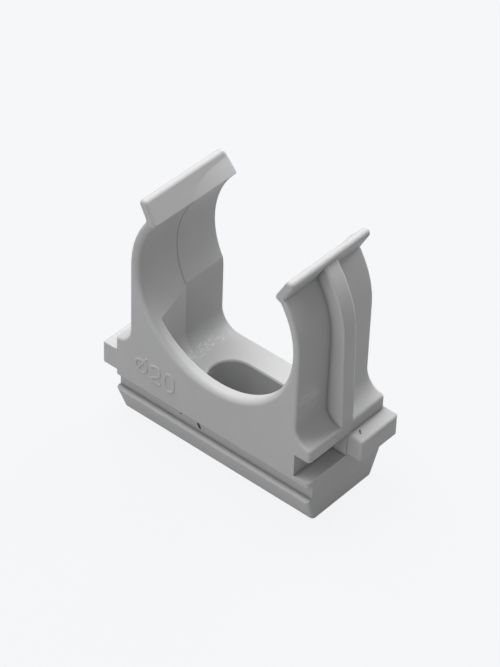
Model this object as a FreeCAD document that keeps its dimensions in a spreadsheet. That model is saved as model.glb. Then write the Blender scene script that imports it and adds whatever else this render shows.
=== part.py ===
"""Snap-in clip that holds a 20 mm rigid conduit to a wall, a ceiling or a base rail.

The clip is one grey moulding. A solid base with a rail groove on its two long sides
carries a U-shaped saddle: two springy arms with flared lead-in lips, stiffened outside
by one rib each, and a thin front wall that cradles the conduit. Behind that wall a
recess with a slotted hole takes the fixing screw. A tab on one half of each end and a
pocket on the other half let clips lock side by side.

Frame, in millimetres: X runs along the base from arm to arm, Y along the conduit's
axis with the marked front face at -Y, and Z points up from the fixing surface, which
is Z = 0. The origin is the middle of the base's underside.
"""
import FreeCAD, Part
import os
import re
import Sketcher
from math import atan2, hypot, pi, sqrt

# Driving dimensions: name, value and what it measures
DIMENSIONS = [
    ("bore_radius", 10.0, "saddle radius, half of a 20 mm conduit"),
    ("saddle_height", 20.6, "height of the conduit's axis over the fixing surface"),
    ("ledge_reach", 2.0, "how far the base runs past the outside of an arm"),
    ("base_depth", 11.8, "size of the clip along the conduit"),
    ("corner_radius", 0.4, "upright corners of the base"),
    ("foot_end_inset", 0.12, "how much the foot closes in at each end, down to the underside"),
    ("foot_side_inset", 1.23, "how much the foot closes in at each side, down to the underside"),
    ("foot_height", 3.15, "height of the tapered foot up to its rail ridge"),
    ("groove_depth", 0.8, "depth of the rail groove in the long sides"),
    ("groove_height", 1.9, "height of the rail groove"),
    ("ridge_round", 0.6, "rounding of the ridge under the rail groove"),
    ("shelf_height", 5.7, "height of the floor of the end pockets"),
    ("ledge_underside", 8.5, "height of the ledge that roofs the end pockets"),
    ("ledge_height", 10.0, "height of the top of the ledges beside the arms"),
    ("arm_wall", 1.0, "thickness of an arm's spring wall"),
    ("arm_draft", 0.35, "how much the outside of an arm narrows to the back"),
    ("arm_end_angle", 39.5, "angle above level at which an arm's wall ends in front"),
    ("arm_end_turn", 3.0, "degrees by which the arm's wall runs further up at the back"),
    ("arm_trim", 3.0, "degrees by which the outside of an arm stops short of its inside"),
    ("lip_angle", 62.0, "rise of the flared lips from level"),
    ("lip_length", 3.0, "length of a lip from the end of its arm"),
    ("lip_thickness", 1.0, "thickness of a lip"),
    ("rib_width", 2.0, "width of the rib on the outside of an arm"),
    ("rib_height", 2.65, "reach of the rib from the saddle radius outwards"),
    ("rib_rise", 2.0, "degrees by which the rib's curve runs on into the lip"),
    ("front_wall", 1.32, "thickness of the front wall that cradles the conduit"),
    ("recess_width", 17.3, "width of the screw recess"),
    ("recess_taper", 0.75, "how much a side of the recess closes in to the front wall"),
    ("recess_floor", 7.0, "height of the floor that the screw head sits on"),
    ("recess_corner", 2.4, "rounding between the recess's floor and sides"),
    ("recess_side_top", 14.9, "height at which a side of the recess starts to curve out"),
    ("recess_blend", 4.2, "rounding between a side of the recess and the saddle"),
    ("recess_turn", 20.0, "degrees through which that rounding turns"),
    ("slot_width", 5.4, "width of the screw slot"),
    ("slot_length", 9.8, "length of the screw slot"),
    ("parting_step", 0.03, "step between the two mould halves inside the arms"),
    ("tab_reach", 1.8, "how far a locking tab stands out"),
    ("tab_height", 2.65, "height of a locking tab"),
    ("tab_gap", 0.05, "gap between a tab and the mid-plane"),
    ("pocket_reach", 1.9, "depth of a locking pocket from the end face"),
    ("rim_round", 0.6, "rounding of the saddle's front rim"),
    ("edge_round", 0.3, "rounding of the outer edges and the tabs"),
    ("fine_bevel", 0.15, "bevel on the slot and the back rims"),
    ("overcut", 1.0, "how far a cut runs past the face that it opens"),
]

doc = FreeCAD.newDocument("conduit_clip")
sheet = doc.addObject("Spreadsheet::Sheet", "sizes")
for row, (alias, number, meaning) in enumerate(DIMENSIONS, start=1):
    sheet.set(f"A{row}", meaning)
    sheet.set(f"B{row}", str(number))
    sheet.setAlias(f"B{row}", alias)
doc.recompute()
ALIASES = {alias for alias, _, _ in DIMENSIONS}

# Sizes that follow from the driving dimensions
HALF_LENGTH = "(bore_radius + arm_wall + ledge_reach)"
HALF_DEPTH = "(base_depth / 2)"
GROOVE_TOP = "(foot_height + groove_height)"
ARM_OUTSIDE = "(bore_radius + arm_wall)"
WALL_MIDDLE = "(bore_radius + arm_wall / 2)"
RIB_OUTSIDE = "(bore_radius + rib_height)"
LIP_ROUND = "(lip_thickness / 2)"
LIP_STRAIGHT = f"(lip_length - {LIP_ROUND})"


def on_sheet(expression):
    """The expression with each named size written as a cell of the sheet."""
    def cell(match):
        return "sizes." + match.group() if match.group() in ALIASES else match.group()
    return re.sub(r"[a-z_]+", cell, str(expression))


def size(expression):
    """The number that an expression gives now."""
    return float(body.evalExpression(on_sheet(expression)))


def bind(thing, prop, expression):
    """Ties a property of a feature to the sheet."""
    thing.setExpression(prop, on_sheet(expression))


def origin_feature(role):
    """The body's own plane or axis of that role."""
    return next(part for part in body.Origin.OriginFeatures if part.Role == role)


def arc_between(start, end, radius, turn):
    """The short arc of that radius from start to end, turning left or right."""
    chord = hypot(end[0] - start[0], end[1] - start[1])
    rise = sqrt(max(radius ** 2 - chord ** 2 / 4, 0.0)) / chord
    side = 1 if turn == "left" else -1
    centre = ((start[0] + end[0]) / 2 - side * rise * (end[1] - start[1]),
              (start[1] + end[1]) / 2 + side * rise * (end[0] - start[0]))
    first, last = (start, end) if turn == "left" else (end, start)
    first_angle = atan2(first[1] - centre[1], first[0] - centre[0])
    last_angle = atan2(last[1] - centre[1], last[0] - centre[0])
    if last_angle < first_angle:
        last_angle += 2 * pi
    circle = Part.Circle(FreeCAD.Vector(centre[0], centre[1], 0), FreeCAD.Vector(0, 0, 1), radius)
    return Part.ArcOfCircle(circle, first_angle, last_angle)


def outline(name, plane, offset, corners):
    """A closed sketch through the corners, each (x, y) or (x, y, radius, turn).

    A corner with a radius is reached by an arc. Both places of each corner and each
    radius are tied to the sheet. The offset moves the sketch along its plane's normal.
    """
    sketch = body.newObject("Sketcher::SketchObject", name)
    sketch.AttachmentSupport = [(origin_feature(plane), "")]
    sketch.MapMode = "FlatFace"
    bind(sketch, "AttachmentOffset.Base.z", offset)
    places = [(size(corner[0]), size(corner[1])) for corner in corners]
    ends = []
    for index, corner in enumerate(corners):
        start = places[index - 1]
        end = places[index]
        if len(corner) == 2:
            line = Part.LineSegment(FreeCAD.Vector(*start, 0), FreeCAD.Vector(*end, 0))
            ends.append((sketch.addGeometry(line), 1, 2))
        else:
            arc = sketch.addGeometry(arc_between(start, end, size(corner[2]), corner[3]))
            ends.append((arc, 1, 2) if corner[3] == "left" else (arc, 2, 1))
    for index, (edge, _, far_end) in enumerate(ends):
        following, near_end, _ = ends[(index + 1) % len(ends)]
        sketch.addConstraint(Sketcher.Constraint("Coincident", edge, far_end, following, near_end))
        for kind, axis in (("DistanceX", 0), ("DistanceY", 1)):
            rule = sketch.addConstraint(
                Sketcher.Constraint(kind, -1, 1, edge, far_end, places[index][axis]))
            bind(sketch, f"Constraints[{rule}]", corners[index][axis])
        if len(corners[index]) > 2:
            radius = size(corners[index][2])
            rule = sketch.addConstraint(Sketcher.Constraint("Radius", edge, radius))
            bind(sketch, f"Constraints[{rule}]", corners[index][2])
    doc.recompute()
    return sketch


def half_block(name, offset, end, side):
    """The right half of a rectangle on the XY plane, with rounded outer corners."""
    inward = f"({end} - corner_radius)"
    side_inward = f"({side} - corner_radius)"
    return outline(name, "XY_Plane", offset, [
        ("0", f"-{side}"),
        (inward, f"-{side}"),
        (end, f"-{side_inward}", "corner_radius", "left"),
        (end, side_inward),
        (inward, side, "corner_radius", "left"),
        ("0", side),
    ])


def feature(kind, name, sketch, **bound):
    """A pad or pocket of a sketch, with its sizes tied to the sheet."""
    made = body.newObject(f"PartDesign::{kind}", name)
    made.Profile = sketch
    for prop, expression in bound.items():
        bind(made, prop, expression)
    return made


def loft(kind, name, first, second):
    """A straight-sided loft from one sketch to another."""
    made = body.newObject(f"PartDesign::{kind}", name)
    made.Profile = first
    made.Sections = [second]
    made.Ruled = True
    doc.recompute()
    return made


def dress(kind, name, amount, wanted):
    """Rounds or bevels every edge of the newest shape that passes the test."""
    doc.recompute()
    base = body.Tip
    names = [f"Edge{number}" for number, edge in enumerate(base.Shape.Edges, start=1)
             if wanted(edge.BoundBox, edge)]
    if not names:
        raise SystemExit(f"{name} found no edge")
    made = body.newObject(f"PartDesign::{kind}", name)
    made.Base = (base, names)
    bind(made, {"Fillet": "Radius", "Chamfer": "Size"}[kind], amount)
    doc.recompute()
    return made


def same(first, second, within=1e-4):
    """Whether two numbers agree."""
    return abs(first - second) < within


# Foot: tapered block below the rail groove, right half
body = doc.addObject("PartDesign::Body", "conduit_clip")
body.Label = "conduit_clip"
loft("AdditiveLoft", "foot",
     half_block("underside", "0", f"({HALF_LENGTH} - foot_end_inset)", f"({HALF_DEPTH} - foot_side_inset)"),
     half_block("ridge_outline", "foot_height", HALF_LENGTH, HALF_DEPTH))

# Upper base up to the top of the ledges
feature("Pad", "upper_base", half_block("base_outline", "foot_height", HALF_LENGTH, HALF_DEPTH),
        Length="ledge_underside - foot_height")
doc.recompute()


def lip_point(along, out):
    """A place on the right lip, from the arm's inner end along the lip and outwards."""
    across = f"(bore_radius * cos(arm_end_angle) + {along} * cos(lip_angle) + {out} * sin(lip_angle))"
    upward = (f"(saddle_height + bore_radius * sin(arm_end_angle)"
              f" + {along} * sin(lip_angle) - {out} * cos(lip_angle))")
    return across, upward


def around(radius, angle):
    """A place at that radius and angle above level, seen from the conduit's axis."""
    return f"({radius} * cos({angle}))", f"(saddle_height + {radius} * sin({angle}))"


def saddle_half(name, offset, outside, inside, end_angle):
    """Half of the saddle's section, on the +X side: base block, arm wall and bore.

    The end of the wall leans on the lip's inner face, up to where the lip's rounding starts.
    """
    root_radius = f"({HALF_LENGTH} - {outside})"
    return outline(name, "XZ_Plane", offset, [
        ("0", "ledge_underside"),
        (HALF_LENGTH, "ledge_underside"),
        (HALF_LENGTH, "ledge_height"),
        (outside, f"(ledge_height + {root_radius})", root_radius, "right"),
        (outside, "saddle_height"),
        (*around(outside, f"({end_angle} - arm_trim)"), outside, "left"),
        lip_point(LIP_STRAIGHT, "(lip_thickness / 10)"),
        around(inside, end_angle),
        (inside, "saddle_height", inside, "right"),
        ("0", f"(saddle_height - {inside})", inside, "right"),
    ])


# Saddle: the front half is straight, the back half stands proud inside by the parting
# step, narrows outside by the draft and runs further up to the back
front_outline = saddle_half("saddle_front", HALF_DEPTH, ARM_OUTSIDE, "bore_radius", "arm_end_angle")
saddle_front = feature("Pad", "saddle_front_half", front_outline, Length=HALF_DEPTH)
saddle_front.Reversed = True
doc.recompute()
back_inside = "(bore_radius - parting_step)"
saddle_back = loft("AdditiveLoft", "saddle_back_half",
                   saddle_half("saddle_middle", "0", ARM_OUTSIDE, back_inside, "arm_end_angle"),
                   saddle_half("saddle_back", f"-{HALF_DEPTH}", f"({ARM_OUTSIDE} - arm_draft)", back_inside,
                               "(arm_end_angle + arm_end_turn)"))

# Upright corners of the ledge
corner_cut = outline("corner_cut", "XY_Plane", "ledge_underside", [
    (f"({HALF_LENGTH} - corner_radius)", f"-{HALF_DEPTH}", "corner_radius", "right"),
    (f"({HALF_LENGTH} - corner_radius)", f"-({HALF_DEPTH} + overcut)"),
    (f"({HALF_LENGTH} + overcut)", f"-({HALF_DEPTH} + overcut)"),
    (f"({HALF_LENGTH} + overcut)", f"-({HALF_DEPTH} - corner_radius)"),
    (HALF_LENGTH, f"-({HALF_DEPTH} - corner_radius)"),
])
front_corner = feature("Pocket", "front_corner", corner_cut, Length="ledge_height")
front_corner.Reversed = True
doc.recompute()
back_corner = body.newObject("PartDesign::Mirrored", "back_corner")
back_corner.Originals = [front_corner]
back_corner.MirrorPlane = (origin_feature("XZ_Plane"), [""])
body.Tip = back_corner
doc.recompute()

half_length = size(HALF_LENGTH)
half_depth = size(HALF_DEPTH)
axis_height = size("saddle_height")


def in_plane(box, axis, place):
    """Whether an edge lies in the plane where X, Y or Z has that value."""
    low, high = {"X": (box.XMin, box.XMax), "Y": (box.YMin, box.YMax), "Z": (box.ZMin, box.ZMax)}[axis]
    return same(low, place) and same(high, place)


def is_arc(edge, radius):
    """Whether an edge is part of a circle of that radius."""
    return edge.Curve.TypeId == "Part::GeomCircle" and same(edge.Curve.Radius, radius)


# Outer edges of the arm, down over its root and round the ledge
arm_outside = size(ARM_OUTSIDE)
dress("Fillet", "arm_edges", "edge_round",
      lambda box, edge: in_plane(box, "Y", -half_depth) and is_arc(edge, arm_outside))

# Front rim of the saddle
bore = size("bore_radius")
dress("Fillet", "saddle_rim", "rim_round",
      lambda box, edge: in_plane(box, "Y", -half_depth) and is_arc(edge, bore))

# Rail groove in the front and back, with the ridge under it rounded
groove_outline = outline("groove_outline", "YZ_Plane", "0", [
    (f"-({HALF_DEPTH} - groove_depth)", GROOVE_TOP),
    (f"-({HALF_DEPTH} + overcut)", GROOVE_TOP),
    (f"-({HALF_DEPTH} + overcut)", "(foot_height - ridge_round)"),
    (f"-{HALF_DEPTH}", "(foot_height - ridge_round)"),
    (f"-({HALF_DEPTH} - ridge_round)", "foot_height", "ridge_round", "right"),
    (f"-({HALF_DEPTH} - groove_depth)", "foot_height"),
])
front_groove = feature("Pocket", "front_groove", groove_outline, Length=f"{HALF_LENGTH} + overcut")
front_groove.Reversed = True
doc.recompute()
back_groove = body.newObject("PartDesign::Mirrored", "back_groove")
back_groove.Originals = [front_groove]
back_groove.MirrorPlane = (origin_feature("XZ_Plane"), [""])
body.Tip = back_groove
doc.recompute()
clip_body = body


def join(name, other):
    """Fuses another body into the clip."""
    made = clip_body.newObject("PartDesign::Boolean", name)
    made.Type = "Fuse"
    made.setObjects([other])
    doc.recompute()
    return made


# Lip: flared lead-in along the whole end of the arm
body = doc.addObject("PartDesign::Body", "lip")
lip_outline = outline("lip_outline", "XZ_Plane", HALF_DEPTH, [
    lip_point("0", "0"),
    lip_point("0", "lip_thickness"),
    lip_point(LIP_STRAIGHT, "lip_thickness"),
    (*lip_point("lip_length", LIP_ROUND), LIP_ROUND, "left"),
    (*lip_point(LIP_STRAIGHT, "0"), LIP_ROUND, "left"),
])
lip = feature("Pad", "lip_slab", lip_outline, Length="base_depth")
lip.Reversed = True
doc.recompute()
dress("Fillet", "lip_ends", "edge_round",
      lambda box, edge: is_arc(edge, size(LIP_ROUND)) and same(box.YLength, 0))
lip_body = body

# Rib: stiffens the outside of the arm from the ledge up into the lip
body = doc.addObject("PartDesign::Body", "rib")
rib_outline = outline("rib_outline", "XZ_Plane", "rib_width / 2", [
    (WALL_MIDDLE, "ledge_underside"),
    (HALF_LENGTH, "ledge_underside"),
    (HALF_LENGTH, "ledge_height"),
    (RIB_OUTSIDE, "saddle_height"),
    (*around(RIB_OUTSIDE, "(arm_end_angle + rib_rise)"), RIB_OUTSIDE, "left"),
    around(WALL_MIDDLE, "(arm_end_angle - rib_rise / 2)"),
    (WALL_MIDDLE, "saddle_height", WALL_MIDDLE, "right"),
])
rib = feature("Pad", "rib_slab", rib_outline, Length="rib_width")
rib.Reversed = True
doc.recompute()
rib_outside = size(RIB_OUTSIDE)


def is_rib_edge(box, edge):
    """Whether an edge is one of the long outer edges of the rib, curved or straight."""
    straight = same(box.ZMax, axis_height) and box.XMax > rib_outside
    return same(box.YLength, 0) and (straight or is_arc(edge, rib_outside))


dress("Fillet", "rib_edges", "edge_round", is_rib_edge)
rib_body = body

body = clip_body
join("with_lip", lip_body)
join("with_rib", rib_body)

# The left half mirrors the right one
mirrored = body.newObject("PartDesign::Mirrored", "left_half")
mirrored.TransformMode = "Whole shape"
mirrored.MirrorPlane = (origin_feature("YZ_Plane"), [""])
body.Tip = mirrored
doc.recompute()


def recess_section(name, offset, half_width):
    """Section of the screw recess: flat floor, upright sides that curve out to the saddle."""
    floor_end = f"({half_width} - recess_corner)"
    side_foot = "(recess_floor + recess_corner)"
    flared = f"({half_width} + recess_blend * (1 - cos(recess_turn)))"
    flare_top = "(recess_side_top + recess_blend * sin(recess_turn))"
    return outline(name, "XZ_Plane", offset, [
        (floor_end, "recess_floor"),
        (half_width, side_foot, "recess_corner", "left"),
        (half_width, "recess_side_top"),
        (flared, flare_top, "recess_blend", "right"),
        (flared, "saddle_height"),
        (f"-{flared}", "saddle_height"),
        (f"-{flared}", flare_top),
        (f"-{half_width}", "recess_side_top", "recess_blend", "right"),
        (f"-{half_width}", side_foot),
        (f"-{floor_end}", "recess_floor", "recess_corner", "left"),
    ])


# Screw recess behind the front wall: straight in the back half, closing in towards the wall
recess_half = "(recess_width / 2)"
recess_back = feature("Pocket", "recess_back",
                      recess_section("recess_rear", f"-{HALF_DEPTH}", recess_half), Length=HALF_DEPTH)
recess_back.Reversed = True
doc.recompute()
loft("SubtractiveLoft", "recess_front",
     recess_section("recess_middle", "0", recess_half),
     recess_section("recess_end", f"({HALF_DEPTH} - front_wall)", f"({recess_half} - recess_taper)"))

# Slotted screw hole through the floor
slot_straight = "(slot_length / 2 - slot_width / 2)"
slot_radius = "(slot_width / 2)"
slot_outline = outline("slot_outline", "XY_Plane", "0", [
    (slot_straight, f"-{slot_radius}"),
    ("(slot_length / 2)", "0", slot_radius, "left"),
    (slot_straight, slot_radius, slot_radius, "left"),
    (f"-{slot_straight}", slot_radius),
    ("-(slot_length / 2)", "0", slot_radius, "left"),
    (f"-{slot_straight}", f"-{slot_radius}", slot_radius, "left"),
])
slot = feature("Pocket", "screw_slot", slot_outline, Length="recess_floor + overcut")
slot.Reversed = True
doc.recompute()

# Locking pocket under the front half of the right ledge
pocket_outline = outline("pocket_outline", "XY_Plane", "shelf_height", [
    (f"({HALF_LENGTH} - pocket_reach)", f"-({HALF_DEPTH} + overcut)"),
    (f"({HALF_LENGTH} + overcut)", f"-({HALF_DEPTH} + overcut)"),
    (f"({HALF_LENGTH} + overcut)", "-tab_gap"),
    (f"({HALF_LENGTH} - pocket_reach)", "-tab_gap"),
])
pocket = feature("Pocket", "lock_pocket", pocket_outline, Length="ledge_underside - shelf_height")
pocket.Reversed = True
doc.recompute()

# Locking tab on the back half of the right end
tab_outline = outline("tab_outline", "XY_Plane", "shelf_height", [
    (f"({HALF_LENGTH} - corner_radius)", "tab_gap"),
    (f"({HALF_LENGTH} + tab_reach)", "tab_gap"),
    (f"({HALF_LENGTH} + tab_reach)", HALF_DEPTH),
    (f"({HALF_LENGTH} - corner_radius)", HALF_DEPTH),
])
tab = feature("Pad", "lock_tab", tab_outline, Length="tab_height")
doc.recompute()

# The left end has the same pocket and tab, turned half round the upright axis
turned = body.newObject("PartDesign::PolarPattern", "left_lock")
turned.Originals = [pocket, tab]
turned.Axis = (origin_feature("Z_Axis"), [""])
turned.Angle = 360
turned.Occurrences = 2
body.Tip = turned
doc.recompute()

# Rounded edges of the tabs
tab_end = size(f"{HALF_LENGTH} + tab_reach")
tab_start = size(f"{HALF_LENGTH} + edge_round")
tab_side = size("tab_gap")


def is_tab_edge(box, edge):
    """Whether an edge lies round the end of a tab or along its side at the mid-plane."""
    at_end = in_plane(box, "X", tab_end) or in_plane(box, "X", -tab_end)
    at_side = in_plane(box, "Y", tab_side) or in_plane(box, "Y", -tab_side)
    return abs(box.Center.x) > tab_start and (at_end or at_side)


dress("Fillet", "tab_edges", "edge_round", is_tab_edge)

# Fine bevels: upper edge of the slot, back rims of the saddle and recess
floor_height = size("recess_floor")
slot_end = size(slot_radius)
dress("Chamfer", "slot_rim", "fine_bevel",
      lambda box, edge: in_plane(box, "Z", floor_height) and is_arc(edge, slot_end))
recess_round = size("recess_corner")
recess_flare = size("recess_blend")
back_bore = size(back_inside)
dress("Chamfer", "bore_back_rim", "fine_bevel",
      lambda box, edge: in_plane(box, "Y", half_depth) and is_arc(edge, back_bore))
dress("Chamfer", "recess_back_rim", "fine_bevel",
      lambda box, edge: in_plane(box, "Y", half_depth) and (is_arc(edge, recess_round)
                                                            or is_arc(edge, recess_flare)))

# Checks on every object, then the file
for thing in doc.Objects:
    if "Invalid" in thing.State or "Error" in thing.State:
        raise SystemExit(f"{thing.Name} failed: {thing.State}")
shape = body.Shape
if shape.isNull() or not shape.isValid() or len(shape.Solids) != 1:
    raise SystemExit(f"the clip is not one valid solid: {len(shape.Solids)} solids")
box = shape.BoundBox
print(f"box {box.XMin:.2f}..{box.XMax:.2f} {box.YMin:.2f}..{box.YMax:.2f} {box.ZMin:.2f}..{box.ZMax:.2f}"
      f" volume {shape.Volume:.1f} mm3")
os.makedirs("parts", exist_ok=True)
shape.exportStep("parts/conduit_clip.step")
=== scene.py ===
"""Snap-in clip for 20 mm conduit: one grey moulding on a plain pale floor."""
import bmesh
import bpy
import numpy as np
from mathutils import Matrix, Vector


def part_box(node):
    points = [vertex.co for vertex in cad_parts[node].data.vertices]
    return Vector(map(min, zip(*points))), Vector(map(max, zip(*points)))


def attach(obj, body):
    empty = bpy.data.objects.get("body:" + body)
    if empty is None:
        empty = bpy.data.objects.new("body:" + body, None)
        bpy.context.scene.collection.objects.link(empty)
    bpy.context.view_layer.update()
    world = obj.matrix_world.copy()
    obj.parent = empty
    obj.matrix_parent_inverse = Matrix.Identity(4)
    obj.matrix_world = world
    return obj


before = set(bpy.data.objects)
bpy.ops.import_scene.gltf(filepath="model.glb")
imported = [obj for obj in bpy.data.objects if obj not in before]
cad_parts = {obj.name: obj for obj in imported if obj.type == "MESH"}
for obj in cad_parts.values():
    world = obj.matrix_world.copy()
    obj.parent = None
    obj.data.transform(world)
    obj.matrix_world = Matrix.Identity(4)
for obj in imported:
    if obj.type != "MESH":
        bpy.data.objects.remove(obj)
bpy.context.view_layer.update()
MM = 0.001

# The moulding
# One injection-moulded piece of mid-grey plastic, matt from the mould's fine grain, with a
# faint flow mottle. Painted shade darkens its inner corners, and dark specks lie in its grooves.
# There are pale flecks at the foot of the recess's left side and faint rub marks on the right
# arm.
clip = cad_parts["conduit_clip"]
low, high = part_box("conduit_clip")

PLASTIC_GREY = (0.362, 0.362, 0.364, 1.0)
PLASTIC_PALE = (0.389, 0.390, 0.392, 1.0)
PLASTIC_IOR = 1.46
MOTTLE_PER_MM = 0.35
MOTTLE_DETAIL = 3.0
SHEEN_PER_MM = 1.3
SHEEN_DETAIL = 2.0
SHEEN_ROUGHNESS = (0.5, 0.62)
GRAIN_PER_MM = 5.0
GRAIN_DETAIL = 2.0
GRAIN_STRENGTH = 0.12
GRAIN_DEPTH = 0.03
EDGE_SOFTNESS = 0.14
EDGE_SAMPLES = 6

# Each fade gives the shares of the reach at which the paint is full and at which it has gone.
FLECK_PLACE = (-7.25, 2.0, 7.25)
FLECK_REACH = (0.95, 4.6, 0.8)
FLECK_FADE = (0.4, 1.0)
FLECK_COLOUR = (0.54, 0.54, 0.54, 1.0)
FLECK_PER_MM = 3.2
FLECK_DETAIL = 3.0
FLECK_LEVELS = (0.50, 0.68)
RUB_PLACE = (11.0, -3.9, 14.6)
RUB_REACH = (1.0, 2.2, 1.9)
RUB_FADE = (0.5, 1.0)
RUB_COLOUR = (0.44, 0.44, 0.442, 1.0)
RUB_PER_MM = 2.4
RUB_DETAIL = 1.0
RUB_LEVELS = (0.44, 0.60)
RUB_DRAW = 0.18
# Painted shade: near-black is mixed into the colour in the clip's inner corners and creases,
# more where its own ambient occlusion is lower.
PAINTED_SHADE_COLOUR = (0.08, 0.08, 0.08, 1.0)
PAINTED_SHADE_REACH = 0.6
PAINTED_SHADE_OPENNESS = (0.9, 0.45)
PAINTED_SHADE_COVER = 0.46
PAINTED_SHADE_SAMPLES = 8
# Small dark specks are painted at the listed spots in the front groove and on the right tab.
SPECK_COLOUR = (0.012, 0.011, 0.010, 1.0)
SPECK_FADE = (0.8, 1.15)
DARK_SPECKS = (
    ((-2.22, -5.1, 3.97), (0.18, 0.3, 0.16)),
    ((-2.11, -5.1, 3.78), (0.21, 0.3, 0.18)),
    ((-2.00, -5.1, 3.60), (0.17, 0.3, 0.15)),
    ((-4.59, -5.1, 4.01), (0.12, 0.3, 0.12)),
    ((-1.87, -5.1, 2.95), (0.09, 0.3, 0.12)),
    ((13.45, 1.42, 8.35), (0.09, 0.13, 0.2)),
    ((13.60, 1.28, 8.35), (0.10, 0.13, 0.2)),
    ((13.76, 1.14, 8.35), (0.09, 0.12, 0.2)),
)


def grey_plastic(name, edge_softness):
    """Matt grey plastic whose patterns are noise on the object's own millimetres."""
    material = bpy.data.materials.new(name)
    material.use_nodes = True
    tree = material.node_tree
    shader = tree.nodes["Principled BSDF"]
    shader.inputs["IOR"].default_value = PLASTIC_IOR
    place = tree.nodes.new("ShaderNodeTexCoord")

    def scaled(scale):
        """The object's coordinates in millimetres, times a scale that draws a pattern out."""
        node = tree.nodes.new("ShaderNodeMapping")
        node.inputs["Scale"].default_value = [share / MM for share in scale]
        tree.links.new(place.outputs["Object"], node.inputs["Vector"])
        return node.outputs["Vector"]

    in_mm = scaled((1, 1, 1))
    drawn_along_y = scaled((1, RUB_DRAW, 1))

    def noise(per_mm, detail, at=in_mm):
        """A noise pattern between 0 and 1."""
        node = tree.nodes.new("ShaderNodeTexNoise")
        node.inputs["Scale"].default_value = per_mm
        node.inputs["Detail"].default_value = detail
        tree.links.new(at, node.inputs["Vector"])
        return node.outputs["Fac"]

    def ranged(value, start, end, to_start=0.0, to_end=1.0):
        """The value carried from the range start to end on to another range, and held there."""
        node = tree.nodes.new("ShaderNodeMapRange")
        node.inputs["From Min"].default_value = start
        node.inputs["From Max"].default_value = end
        node.inputs["To Min"].default_value = to_start
        node.inputs["To Max"].default_value = to_end
        tree.links.new(value, node.inputs["Value"])
        return node.outputs["Result"]

    def near(centre, reach, fade):
        """1 inside an ellipsoid, falling to 0 between the two shares of its reach in fade."""
        offset = in_mm
        for operation, constant in (("SUBTRACT", centre), ("DIVIDE", reach)):
            node = tree.nodes.new("ShaderNodeVectorMath")
            node.operation = operation
            node.inputs[1].default_value = constant
            tree.links.new(offset, node.inputs[0])
            offset = node.outputs["Vector"]
        length = tree.nodes.new("ShaderNodeVectorMath")
        length.operation = "LENGTH"
        tree.links.new(offset, length.inputs[0])
        full, gone = fade
        return ranged(length.outputs["Value"], gone, full)

    def peaks(pattern, levels, cover):
        """A noise pattern's peaks, rising between two levels, where cover lets them show."""
        both = tree.nodes.new("ShaderNodeMath")
        both.operation = "MULTIPLY"
        tree.links.new(ranged(pattern, *levels), both.inputs[0])
        tree.links.new(cover, both.inputs[1])
        return both.outputs["Value"]

    def painted(below, factor, paint):
        """The colour below with a paint mixed over it."""
        mix = tree.nodes.new("ShaderNodeMix")
        mix.data_type = "RGBA"
        mix.inputs["B"].default_value = paint
        tree.links.new(factor, mix.inputs["Factor"])
        tree.links.new(below, mix.inputs["A"])
        return mix.outputs["Result"]

    mottle = tree.nodes.new("ShaderNodeMix")
    mottle.data_type = "RGBA"
    mottle.inputs["A"].default_value = PLASTIC_GREY
    mottle.inputs["B"].default_value = PLASTIC_PALE
    tree.links.new(noise(MOTTLE_PER_MM, MOTTLE_DETAIL), mottle.inputs["Factor"])
    colour = mottle.outputs["Result"]

    flecks = noise(FLECK_PER_MM, FLECK_DETAIL)
    flecks_show = near(FLECK_PLACE, FLECK_REACH, FLECK_FADE)
    colour = painted(colour, peaks(flecks, FLECK_LEVELS, flecks_show), FLECK_COLOUR)
    rubs = noise(RUB_PER_MM, RUB_DETAIL, drawn_along_y)
    rubs_show = near(RUB_PLACE, RUB_REACH, RUB_FADE)
    colour = painted(colour, peaks(rubs, RUB_LEVELS, rubs_show), RUB_COLOUR)

    # Painted shade: the colour darkens towards near-black in inner corners and creases, where
    # the part's ambient occlusion is low.
    corners = tree.nodes.new("ShaderNodeAmbientOcclusion")
    corners.samples = PAINTED_SHADE_SAMPLES
    corners.only_local = True
    corners.inputs["Distance"].default_value = PAINTED_SHADE_REACH * MM
    corner_shade = ranged(corners.outputs["AO"], *PAINTED_SHADE_OPENNESS, 0.0, PAINTED_SHADE_COVER)
    colour = painted(colour, corner_shade, PAINTED_SHADE_COLOUR)
    # Small dark specks are painted at the listed spots.
    for centre, reach in DARK_SPECKS:
        colour = painted(colour, near(centre, reach, SPECK_FADE), SPECK_COLOUR)
    tree.links.new(colour, shader.inputs["Base Color"])

    roughness = ranged(noise(SHEEN_PER_MM, SHEEN_DETAIL), 0.0, 1.0, *SHEEN_ROUGHNESS)
    tree.links.new(roughness, shader.inputs["Roughness"])

    grain = tree.nodes.new("ShaderNodeBump")
    grain.inputs["Strength"].default_value = GRAIN_STRENGTH
    grain.inputs["Distance"].default_value = GRAIN_DEPTH * MM
    tree.links.new(noise(GRAIN_PER_MM, GRAIN_DETAIL), grain.inputs["Height"])
    if edge_softness:
        edges = tree.nodes.new("ShaderNodeBevel")
        edges.samples = EDGE_SAMPLES
        edges.inputs["Radius"].default_value = edge_softness * MM
        tree.links.new(edges.outputs["Normal"], grain.inputs["Normal"])
    tree.links.new(grain.outputs["Normal"], shader.inputs["Normal"])
    return material


clip.data.materials.clear()
clip.data.materials.append(grey_plastic("grey_moulded_plastic", EDGE_SOFTNESS))

# The raised size mark
# A diameter sign and the conduit's size stand out of the front face at its left end, as
# thin round-topped strokes cut into the mould. Their material softens no edges.
MARK_RISE = 0.09
STROKE_HALF_WIDTH = 0.18
STROKE_SIDES = 12
SEWN_WITHIN = 0.001
front_face = low.y / MM
mark_plastic = grey_plastic("grey_plastic_mark", 0)


def run_along(path):
    """The distance of each of a path's points from its first point, along the path."""
    return np.concatenate([[0], np.cumsum(np.linalg.norm(np.diff(path, axis=0), axis=1))])


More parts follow.
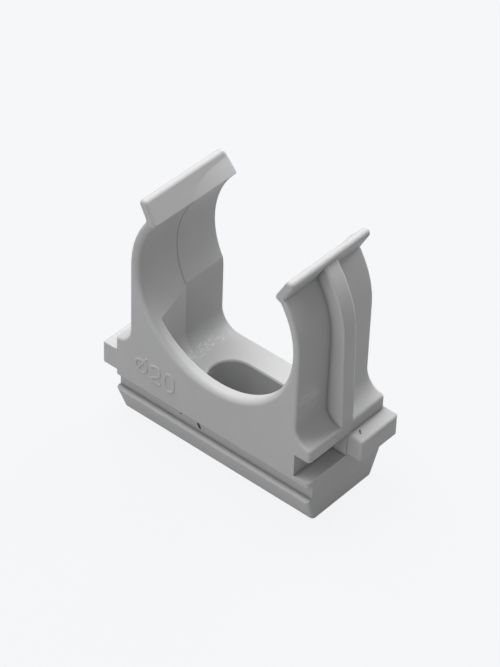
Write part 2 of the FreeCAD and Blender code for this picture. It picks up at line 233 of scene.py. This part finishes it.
def round_stroke(path, closed):
    """A tube of elliptical section along a path in the front face.

    At path point p with in-face normal n, the ring is p + a cos(u) n + b sin(u) out, where a
    is the half width and b the rise. At an open end both shrink as a quarter circle.
    """
    step = np.gradient(path, axis=0)
    if closed:
        step = np.roll(path, -1, axis=0) - np.roll(path, 1, axis=0)
    along = step / np.linalg.norm(step, axis=1, keepdims=True)
    across = np.stack([-along[:, 1], along[:, 0]], axis=1)
    swell = np.ones(len(path))
    if not closed:
        run = run_along(path)
        to_end = np.minimum(run, run[-1] - run) / STROKE_HALF_WIDTH
        swell = np.sqrt(np.clip(1 - (1 - np.clip(to_end, 0, 1)) ** 2, 0.0, 1))
    turn = np.linspace(0, 2 * np.pi, STROKE_SIDES, endpoint=False)
    side = STROKE_HALF_WIDTH * np.cos(turn)[None, :] * swell[:, None]
    rise = MARK_RISE * np.sin(turn)[None, :] * swell[:, None]
    x = path[:, None, 0] + across[:, None, 0] * side
    z = path[:, None, 1] + across[:, None, 1] * side
    y = front_face - rise
    points = np.stack([x, y, z], axis=2).reshape(-1, 3) * MM
    rings = len(path)
    bands = rings if closed else rings - 1
    i, j = np.meshgrid(np.arange(bands), np.arange(STROKE_SIDES), indexing="ij")
    nearer = i * STROKE_SIDES + j
    further = (i + 1) % rings * STROKE_SIDES + j
    turn_on = (j + 1) % STROKE_SIDES - j
    corners = [nearer, further, further + turn_on, nearer + turn_on]
    return points, np.stack(corners, axis=2).reshape(-1, 4)


def ellipse(centre, half_width, half_height, steps):
    """Points once round an ellipse, from its +X end."""
    angle = np.radians(np.linspace(0, 360, steps, endpoint=False))
    x = centre[0] + half_width * np.cos(angle)
    z = centre[1] + half_height * np.sin(angle)
    return np.stack([x, z], axis=1)


def straight(start, end, steps):
    """Evenly spaced points of a line."""
    share = np.linspace(0, 1, steps)[:, None]
    return np.array(start) * (1 - share) + np.array(end) * share


def bent(corners, steps):
    """Evenly spaced points of a line through corners, each cut off twice at quarters."""
    line = np.array(corners)
    for _ in range(2):
        after_start = line[:-1] * 0.75 + line[1:] * 0.25
        before_end = line[:-1] * 0.25 + line[1:] * 0.75
        cut = np.stack([after_start, before_end], axis=1).reshape(-1, 2)
        line = np.concatenate([line[:1], cut[1:-1], line[-1:]])
    run = run_along(line)
    even = np.linspace(0, run[-1], steps)
    return np.stack([np.interp(even, run, line[:, 0]), np.interp(even, run, line[:, 1])], axis=1)


def mark_piece(name, strokes):
    """One raised character from its strokes, each a path and whether it is closed."""
    points = []
    faces = []
    count = 0
    for path, closed in strokes:
        more, ring_faces = round_stroke(path, closed)
        points.append(more)
        faces.append(ring_faces + count)
        count += len(more)
    mesh = bpy.data.meshes.new(name)
    mesh.from_pydata(np.concatenate(points).tolist(), [], np.concatenate(faces).tolist())
    sewn = bmesh.new()
    sewn.from_mesh(mesh)
    bmesh.ops.remove_doubles(sewn, verts=sewn.verts, dist=SEWN_WITHIN * MM)
    bmesh.ops.recalc_face_normals(sewn, faces=sewn.faces)
    sewn.to_mesh(mesh)
    sewn.free()
    mesh.shade_smooth()
    piece = bpy.data.objects.new(name, mesh)
    bpy.context.scene.collection.objects.link(piece)
    mesh.materials.append(mark_plastic)
    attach(piece, "root")


sign_ring = ellipse((-9.41, 8.13), 0.76, 0.80, 45)
sign_slash = straight((-10.18, 7.14), (-8.60, 9.52), 24)
mark_piece("size_mark_diameter", [(sign_ring, True), (sign_slash, False)])
two = bent([(-8.03, 8.56), (-8.04, 8.88), (-7.95, 8.98), (-7.32, 9.17), (-6.94, 9.03),
            (-6.86, 8.72), (-6.88, 8.12), (-7.10, 7.86), (-8.04, 7.38), (-8.08, 7.00),
            (-6.72, 7.00)], 90)
mark_piece("size_mark_two", [(two, False)])
zero = ellipse((-5.57, 7.98), 0.64, 1.15, 60)
mark_piece("size_mark_zero", [(zero, True)])

# The floor and the room
# A plain pale floor runs out of view on every side, with the pale room beyond it. They look
# pale to the camera, with a faint shadow, but light the clip only as a dim floor in the dark.
BACKGROUND = (0.922, 0.930, 0.947, 1.0)
FLOOR_GLOW = (0.952, 0.959, 0.978, 1.0)
FLOOR_GREY = (0.29, 0.29, 0.294, 1.0)
FLOOR_REACH = 3.0
SHADOW_SHARE = 0.08


def seen_or_lit(tree, seen, lit, share):
    """The lit shader, with this share of the seen one for camera, glossy and clear rays."""
    path = tree.nodes.new("ShaderNodeLightPath")
    looking = path.outputs["Is Camera Ray"]
    for ray in ("Is Glossy Ray", "Is Transmission Ray"):
        either = tree.nodes.new("ShaderNodeMath")
        either.operation = "MAXIMUM"
        tree.links.new(looking, either.inputs[0])
        tree.links.new(path.outputs[ray], either.inputs[1])
        looking = either.outputs["Value"]
    part = tree.nodes.new("ShaderNodeMath")
    part.operation = "MULTIPLY"
    part.inputs[1].default_value = share
    tree.links.new(looking, part.inputs[0])
    mix = tree.nodes.new("ShaderNodeMixShader")
    tree.links.new(part.outputs["Value"], mix.inputs["Fac"])
    tree.links.new(lit, mix.inputs[1])
    tree.links.new(seen, mix.inputs[2])
    return mix.outputs["Shader"]


floor_corners = [(-FLOOR_REACH, -FLOOR_REACH, 0), (FLOOR_REACH, -FLOOR_REACH, 0),
                 (FLOOR_REACH, FLOOR_REACH, 0), (-FLOOR_REACH, FLOOR_REACH, 0)]
floor_mesh = bpy.data.meshes.new("floor")
floor_mesh.from_pydata(floor_corners, [], [(0, 1, 2, 3)])
floor = bpy.data.objects.new("floor", floor_mesh)
bpy.context.scene.collection.objects.link(floor)
floor_material = bpy.data.materials.new("pale_floor")
floor_material.use_nodes = True
floor_tree = floor_material.node_tree
floor_tree.nodes.clear()
floor_glow = floor_tree.nodes.new("ShaderNodeEmission")
floor_glow.inputs["Color"].default_value = FLOOR_GLOW
floor_matt = floor_tree.nodes.new("ShaderNodeBsdfDiffuse")
floor_matt.inputs["Color"].default_value = FLOOR_GREY
floor_out = floor_tree.nodes.new("ShaderNodeOutputMaterial")
floor_surface = seen_or_lit(floor_tree, floor_glow.outputs["Emission"],
                            floor_matt.outputs["BSDF"], 1 - SHADOW_SHARE)
floor_tree.links.new(floor_surface, floor_out.inputs["Surface"])
floor_mesh.materials.append(floor_material)

room = bpy.data.worlds.new("room")
bpy.context.scene.world = room
room.use_nodes = True
room_tree = room.node_tree
room_tree.nodes.clear()
room_seen = room_tree.nodes.new("ShaderNodeBackground")
room_seen.inputs["Color"].default_value = BACKGROUND
room_dark = room_tree.nodes.new("ShaderNodeBackground")
room_dark.inputs["Strength"].default_value = 0.0
room_out = room_tree.nodes.new("ShaderNodeOutputWorld")
room_surface = seen_or_lit(room_tree, room_seen.outputs["Background"],
                           room_dark.outputs["Background"], 1.0)
room_tree.links.new(room_surface, room_out.inputs["Surface"])

# The lamps
# Soft boxes stand round the clip. The strongest is low behind it, the next two are high on its
# left, weaker ones stand in front, and very little light falls on its right end.
LAMP_DISTANCE = 0.4
LAMP_WIDTH = 0.22


def soft_box(name, azimuth, elevation, power):
    """A square area lamp at an azimuth and elevation from the clip, aimed at its middle."""
    data = bpy.data.lights.new(name, "AREA")
    data.size = LAMP_WIDTH
    data.energy = power
    lamp = bpy.data.objects.new(name, data)
    bpy.context.scene.collection.objects.link(lamp)
    a, e = np.radians([azimuth, elevation])
    back = Vector((np.sin(a) * np.cos(e), -np.cos(a) * np.cos(e), np.sin(e)))
    aim = Vector((0, 0, high.z / 2))
    turn = back.to_track_quat("Z", "Y").to_matrix().to_4x4()
    lamp.matrix_world = Matrix.Translation(aim + back * LAMP_DISTANCE) @ turn


soft_box("lamp_back_low", 180, 28, 1.66)
soft_box("lamp_back_left_high", -120, 68, 1.24)
soft_box("lamp_front_left_high", -60, 68, 1.07)
soft_box("lamp_front_low", 0, 8, 0.62)
soft_box("lamp_front", 0, 48, 0.27)
soft_box("lamp_right", 90, 28, 0.175)
soft_box("lamp_front_right", 45, 28, 0.10)
soft_box("lamp_back_right", 135, 48, 0.075)

# The camera
# A long lens looks from above and to the right of the marked face. Its angles are in degrees,
# its distance and target in millimetres, and the target falls on one pixel of the picture.
CAMERA_AZIMUTH = 39.549
CAMERA_ELEVATION = 40.309
CAMERA_ROLL = 2.081
CAMERA_DISTANCE = 298.427
CAMERA_TARGET = (0.0, 0.0, 8.0)
TARGET_PIXEL = (248.568, 379.859)
PHOTO_PIXELS = (500, 667)
FOCAL_PIXELS = 2931.17
SENSOR = 36.0
NEAREST = 0.01
FURTHEST = 20.0

camera_data = bpy.data.cameras.new("camera")
camera_data.sensor_width = SENSOR
camera_data.lens = FOCAL_PIXELS / PHOTO_PIXELS[1] * SENSOR
camera_data.clip_start = NEAREST
camera_data.clip_end = FURTHEST
camera = bpy.data.objects.new("camera", camera_data)
bpy.context.scene.collection.objects.link(camera)
azimuth, elevation, roll = np.radians([CAMERA_AZIMUTH, CAMERA_ELEVATION, CAMERA_ROLL])
level_back = Vector((np.sin(azimuth), -np.cos(azimuth), 0))
backward = level_back * np.cos(elevation) + Vector((0, 0, np.sin(elevation)))
level_right = Vector((np.cos(azimuth), np.sin(azimuth), 0))
level_up = backward.cross(level_right)
right = level_right * np.cos(roll) + level_up * np.sin(roll)
up = level_up * np.cos(roll) - level_right * np.sin(roll)
aside = (TARGET_PIXEL[0] - PHOTO_PIXELS[0] / 2) * CAMERA_DISTANCE / FOCAL_PIXELS
above = -(TARGET_PIXEL[1] - PHOTO_PIXELS[1] / 2) * CAMERA_DISTANCE / FOCAL_PIXELS
eye = (Vector(CAMERA_TARGET) + backward * CAMERA_DISTANCE - right * aside - up * above) * MM
turned = Matrix((right, up, backward)).transposed().to_4x4()
camera.matrix_world = Matrix.Translation(eye) @ turned
bpy.context.scene.camera = camera

bpy.context.scene.view_settings.view_transform = "Standard"
